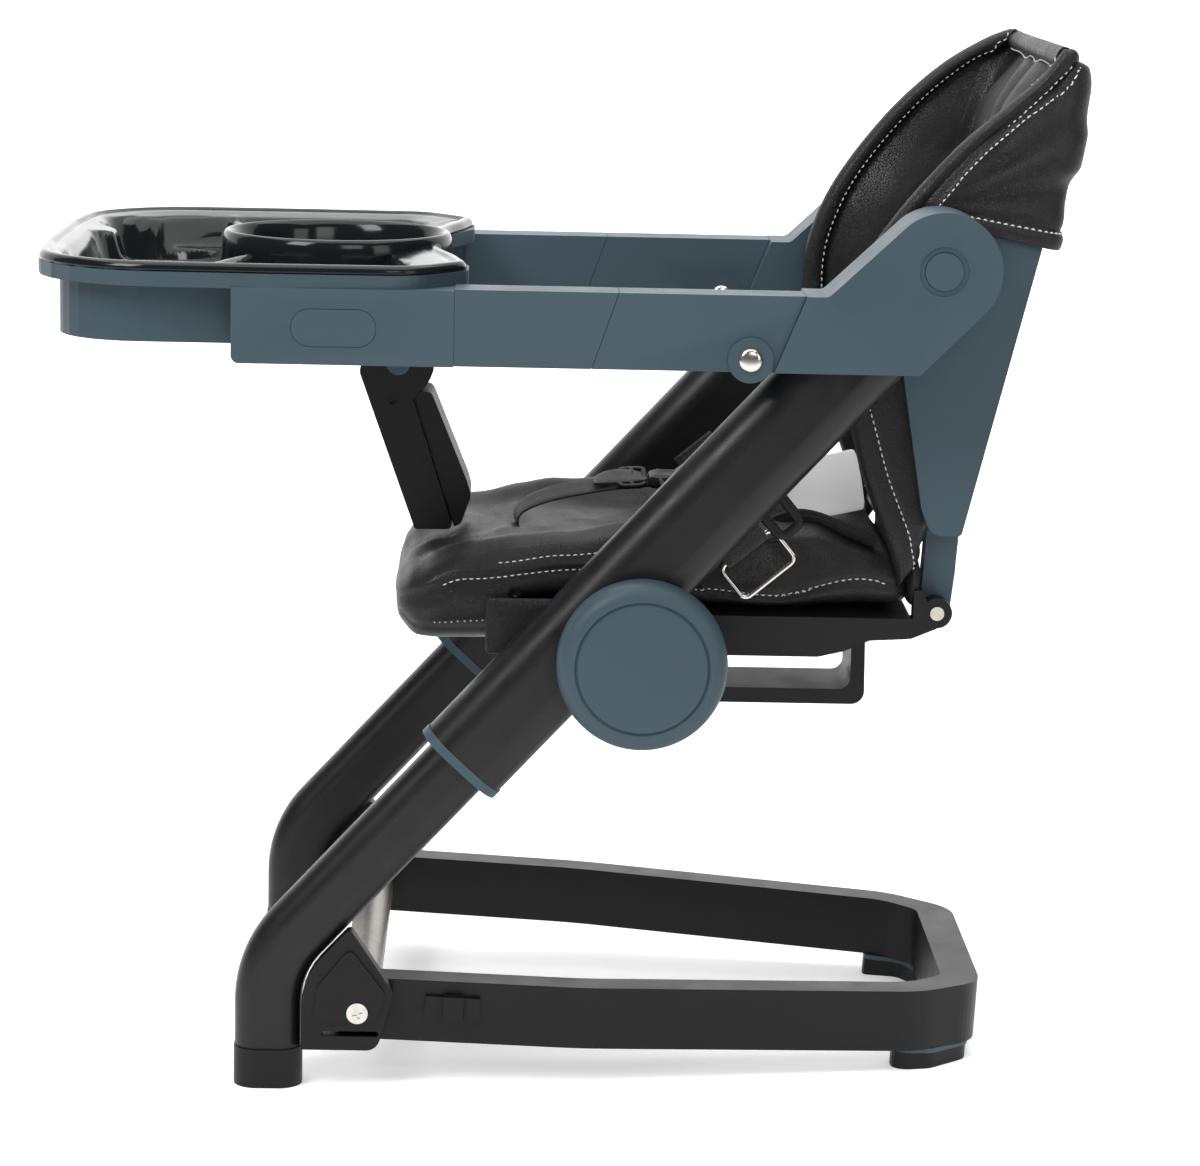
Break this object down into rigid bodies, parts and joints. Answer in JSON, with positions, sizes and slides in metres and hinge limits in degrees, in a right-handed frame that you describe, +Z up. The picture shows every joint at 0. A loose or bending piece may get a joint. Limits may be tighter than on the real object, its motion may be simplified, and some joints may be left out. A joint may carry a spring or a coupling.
{
  "type": "high chair",
  "caption": "low folding high chair with telescoping slanted legs, a folding floor bar, padded leather bucket seat, side arms, and a clip-on feeding tray with crotch post",
  "frame": {"origin": "bottom centre of the bounding box, on the floor plane", "axes": "+Z up, -Y the way the child faces, +Y the rear, +X the child's left"},
  "size_m": [0.419, 0.6778, 0.6888],
  "materials": {
    "leg_paint": "fine-textured matte black",
    "bar_paint": "satin black",
    "tube_metal": "satin",
    "black_plastic": "fine-textured matte black",
    "blue_grey_plastic": "satin blue-grey",
    "bright_metal": "polished",
    "seat_leather": "fine-grained black with white stitching",
    "webbing": "ribbed black webbing",
    "label_cloth": "blank white woven label",
    "gloss_liner": "glossy black"
  },
  "bodies": {
    "leg_frame": {"lower_leg_left": "leg_paint", "lower_leg_right": "leg_paint", "front_foot_left": "black_plastic", "front_foot_right": "black_plastic", "cross_tube": "tube_metal", "base_bracket_left": "black_plastic", "base_bracket_right": "black_plastic", "bracket_screw_left": "bright_metal", "bracket_screw_right": "bright_metal"},
    "floor_bar": {"floor_bar": "bar_paint", "rear_foot_left": "black_plastic", "rear_foot_right": "black_plastic", "foot_shim_left": "blue_grey_plastic", "foot_shim_right": "blue_grey_plastic", "bar_clip_left": "black_plastic", "bar_clip_right": "black_plastic"},
    "upper_frame": {"upper_leg_left": "leg_paint", "upper_leg_right": "leg_paint", "leg_collar_left": "blue_grey_plastic", "leg_collar_right": "blue_grey_plastic", "hub_housing_left": "black_plastic", "hub_housing_right": "black_plastic", "hub_cap_left": "blue_grey_plastic", "hub_cap_right": "blue_grey_plastic", "rear_arm_left": "blue_grey_plastic", "rear_arm_right": "blue_grey_plastic", "middle_arm_left": "blue_grey_plastic", "middle_arm_right": "blue_grey_plastic", "front_arm_left": "blue_grey_plastic", "front_arm_right": "blue_grey_plastic", "arm_rivet_left": "bright_metal", "arm_rivet_right": "bright_metal"},
    "seat": {"seat_base": "black_plastic", "carry_handle": "black_plastic", "hinge_pin_left": "bright_metal", "hinge_pin_right": "bright_metal", "seat_pad": "seat_leather", "crotch_strap": "webbing", "harness_buckle": "black_plastic", "waist_strap_left": "webbing", "waist_strap_right": "webbing", "care_label": "label_cloth", "lap_strap_left": "webbing", "lap_strap_right": "webbing", "lap_ring_left": "bright_metal", "lap_ring_right": "bright_metal"},
    "back": {"back_shell": "blue_grey_plastic", "back_pad": "seat_leather", "head_hood": "seat_leather"},
    "tray": {"tray": "blue_grey_plastic"},
    "insert": {"tray_insert": "gloss_liner"},
    "post": {"crotch_post": "black_plastic", "post_pad": "black_plastic", "post_cap_left": "blue_grey_plastic", "post_cap_right": "blue_grey_plastic"},
    "tray_button_left": {"tray_button_left": "blue_grey_plastic"},
    "tray_button_right": {"tray_button_right": "blue_grey_plastic"},
    "back_button_left": {"back_button_left": "blue_grey_plastic"},
    "back_button_right": {"back_button_right": "blue_grey_plastic"}
  },
  "joints": [
    {"name": "floor_bar_fold", "type": "hinge", "parent": "leg_frame", "child": "floor_bar", "pos_m": [0, -0.1216, 0.052], "axis": [1, 0, 0], "range_deg": [0, 20]},
    {"name": "height_slide", "type": "slide", "parent": "leg_frame", "child": "upper_frame", "axis": [0, 0.6756, 0.7373], "range_m": [0, 0.08]},
    {"name": "seat_fold", "type": "hinge", "parent": "upper_frame", "child": "seat", "pos_m": [0, 0.0589, 0.291], "axis": [1, 0, 0], "range_deg": [0, 38]},
    {"name": "back_fold", "type": "hinge", "parent": "seat", "child": "back", "pos_m": [0, 0.254, 0.316], "axis": [1, 0, 0], "range_deg": [0, 14]},
    {"name": "tray_slide", "type": "slide", "parent": "upper_frame", "child": "tray", "axis": [0, -1, 0], "range_m": [0, 0.055]},
    {"name": "insert_lift", "type": "slide", "parent": "tray", "child": "insert", "axis": [0, 0, 1], "range_m": [0, 0.05]},
    {"name": "post_fold", "type": "hinge", "parent": "tray", "child": "post", "pos_m": [0, -0.1046, 0.461], "axis": [1, 0, 0], "range_deg": [-60, 0]},
    {"name": "tray_button_left_press", "type": "slide", "parent": "tray", "child": "tray_button_left", "axis": [-1, 0, 0], "range_m": [0, 0.0025], "stiffness_N_per_m": 900, "springref_m": -0.0008},
    {"name": "tray_button_right_press", "type": "slide", "parent": "tray", "child": "tray_button_right", "axis": [1, 0, 0], "range_m": [0, 0.0025], "stiffness_N_per_m": 900, "springref_m": -0.0008},
    {"name": "back_button_left_press", "type": "slide", "parent": "upper_frame", "child": "back_button_left", "axis": [-1, 0, 0], "range_m": [0, 0.003], "stiffness_N_per_m": 900, "springref_m": -0.0008},
    {"name": "back_button_right_press", "type": "slide", "parent": "upper_frame", "child": "back_button_right", "axis": [1, 0, 0], "range_m": [0, 0.003], "stiffness_N_per_m": 900, "springref_m": -0.0008}
  ]
}
